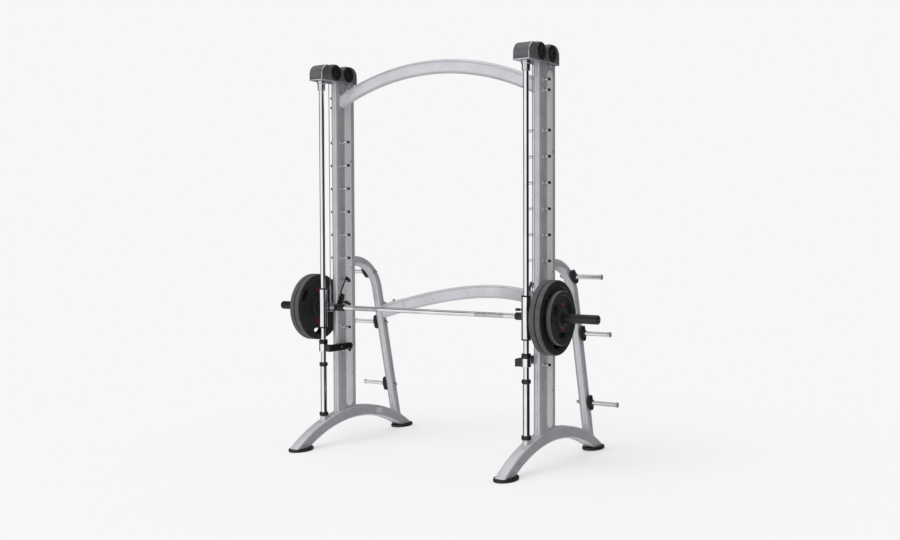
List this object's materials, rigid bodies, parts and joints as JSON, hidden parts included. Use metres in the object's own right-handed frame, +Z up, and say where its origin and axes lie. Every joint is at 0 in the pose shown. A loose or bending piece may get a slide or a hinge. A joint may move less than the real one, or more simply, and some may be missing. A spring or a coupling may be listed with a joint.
{
  "type": "smith machine",
  "caption": "Counterbalanced smith machine: side frames on base arches, guide rods, a barbell on sliding carriages with rack hooks, safety stops, weight plates and storage horns.",
  "frame": {"origin": "middle of the footprint on the floor", "axes": "+Z up, -Y towards the front with the barbell, +X to the right of someone looking at the front"},
  "size_m": [2.191, 1.169, 2.283],
  "materials": {
    "silver_paint": "silver metallic powder coat, satin",
    "chrome": "polished chrome plating",
    "turned_steel": "turned steel, satin",
    "black_coating": "black powder coat, semi-gloss",
    "black_rubber": "moulded black rubber, matte",
    "grey_plastic": "dark grey moulded plastic, fine texture",
    "plate_iron": "charcoal coating over cast iron, matte",
    "pulley_nylon": "black nylon",
    "cable_coat": "nylon-coated wire rope",
    "weight_iron": "bare cast iron"
  },
  "bodies": {
    "frame": {"top_arch": "silver_paint", "rear_crossmember": "silver_paint", "left_base_arch": "silver_paint", "left_front_foot": "black_rubber", "left_rear_foot": "black_rubber", "left_front_column": "silver_paint", "left_rear_column": "silver_paint", "left_peg_rail": "turned_steel", "left_rear_leg": "silver_paint", "left_guide_rod": "chrome", "left_stop_tube": "chrome", "left_bumper": "black_rubber", "left_head_bracket": "turned_steel", "left_cap": "grey_plastic", "left_cable": "cable_coat", "left_upper_horn": "chrome", "left_middle_horn": "chrome", "left_lower_horn": "chrome", "right_base_arch": "silver_paint", "right_front_foot": "black_rubber", "right_rear_foot": "black_rubber", "right_front_column": "silver_paint", "right_rear_column": "silver_paint", "right_peg_rail": "turned_steel", "right_rear_leg": "silver_paint", "right_guide_rod": "chrome", "right_stop_tube": "chrome", "right_bumper": "black_rubber", "right_head_bracket": "turned_steel", "right_cap": "grey_plastic", "right_cable": "cable_coat", "right_upper_horn": "chrome", "right_middle_horn": "chrome", "right_lower_horn": "chrome"},
    "carriage": {"left_carriage": "chrome", "right_carriage": "chrome"},
    "barbell": {"bar": "chrome", "left_hook": "chrome", "left_hook_hub": "black_coating", "right_hook": "chrome", "right_hook_hub": "black_coating"},
    "left_sleeve": {"left_sleeve": "black_coating"},
    "left_plates": {"left_inner_plate": "plate_iron", "left_middle_plate": "plate_iron", "left_outer_plate": "plate_iron"},
    "left_stop": {"left_stop_sleeve": "black_coating"},
    "left_stop_arm": {"left_stop_arm": "black_coating"},
    "left_counterweight": {"left_counterweight": "weight_iron"},
    "left_front_pulley": {"left_front_pulley": "pulley_nylon"},
    "left_rear_pulley": {"left_rear_pulley": "pulley_nylon"},
    "right_sleeve": {"right_sleeve": "black_coating"},
    "right_plates": {"right_inner_plate": "plate_iron", "right_middle_plate": "plate_iron", "right_outer_plate": "plate_iron"},
    "right_stop": {"right_stop_sleeve": "black_coating"},
    "right_stop_arm": {"right_stop_arm": "black_coating"},
    "right_counterweight": {"right_counterweight": "weight_iron"},
    "right_front_pulley": {"right_front_pulley": "pulley_nylon"},
    "right_rear_pulley": {"right_rear_pulley": "pulley_nylon"}
  },
  "joints": [
    {"name": "bar_lift", "type": "slide", "parent": "frame", "child": "carriage", "axis": [0, 0, 1], "range_m": [0, 1.015], "deforming": ["left_cable", "right_cable"]},
    {"name": "bar_turn", "type": "hinge", "parent": "carriage", "child": "barbell", "pos_m": [0, -0.2175, 0.827], "axis": [1, 0, 0], "range_deg": [0, 45]},
    {"name": "left_sleeve_spin", "type": "hinge", "parent": "barbell", "child": "left_sleeve", "pos_m": [-0.92, -0.2175, 0.827], "axis": [1, 0, 0], "continuous": true},
    {"name": "left_plates_slide", "type": "slide", "parent": "left_sleeve", "child": "left_plates", "axis": [-1, 0, 0], "range_m": [0, 0.19]},
    {"name": "left_stop_lift", "type": "slide", "parent": "frame", "child": "left_stop", "axis": [0, 0, 1], "range_m": [0, 0.05]},
    {"name": "left_stop_swing", "type": "hinge", "parent": "left_stop", "child": "left_stop_arm", "pos_m": [-0.704, -0.2885, 0.587], "axis": [0, 0, -1], "range_deg": [0, 60]},
    {"name": "left_weight_drop", "type": "slide", "parent": "frame", "child": "left_counterweight", "axis": [0, 0, 1], "range_m": [-1.015, 0]},
    {"name": "left_front_pulley_spin", "type": "hinge", "parent": "frame", "child": "left_front_pulley", "pos_m": [-0.704, -0.1905, 2.2225], "axis": [-1, 0, 0], "range_deg": [0, 1950]},
    {"name": "left_rear_pulley_spin", "type": "hinge", "parent": "frame", "child": "left_rear_pulley", "pos_m": [-0.704, -0.0555, 2.2225], "axis": [-1, 0, 0], "range_deg": [0, 1950]},
    {"name": "right_sleeve_spin", "type": "hinge", "parent": "barbell", "child": "right_sleeve", "pos_m": [0.92, -0.2175, 0.827], "axis": [1, 0, 0], "continuous": true},
    {"name": "right_plates_slide", "type": "slide", "parent": "right_sleeve", "child": "right_plates", "axis": [1, 0, 0], "range_m": [0, 0.19]},
    {"name": "right_stop_lift", "type": "slide", "parent": "frame", "child": "right_stop", "axis": [0, 0, 1], "range_m": [0, 0.05]},
    {"name": "right_stop_swing", "type": "hinge", "parent": "right_stop", "child": "right_stop_arm", "pos_m": [0.704, -0.2885, 0.587], "axis": [0, 0, 1], "range_deg": [0, 60]},
    {"name": "right_weight_drop", "type": "slide", "parent": "frame", "child": "right_counterweight", "axis": [0, 0, 1], "range_m": [-1.015, 0]},
    {"name": "right_front_pulley_spin", "type": "hinge", "parent": "frame", "child": "right_front_pulley", "pos_m": [0.704, -0.1905, 2.2225], "axis": [-1, 0, 0], "range_deg": [0, 1950]},
    {"name": "right_rear_pulley_spin", "type": "hinge", "parent": "frame", "child": "right_rear_pulley", "pos_m": [0.704, -0.0555, 2.2225], "axis": [-1, 0, 0], "range_deg": [0, 1950]}
  ],
  "couplings": [
    {"joint": "left_weight_drop", "follows": "bar_lift", "ratio": -1},
    {"joint": "left_front_pulley_spin", "follows": "bar_lift", "rad_per_m": 33.333},
    {"joint": "left_rear_pulley_spin", "follows": "bar_lift", "rad_per_m": 33.333},
    {"joint": "right_weight_drop", "follows": "bar_lift", "ratio": -1},
    {"joint": "right_front_pulley_spin", "follows": "bar_lift", "rad_per_m": 33.333},
    {"joint": "right_rear_pulley_spin", "follows": "bar_lift", "rad_per_m": 33.333}
  ]
}
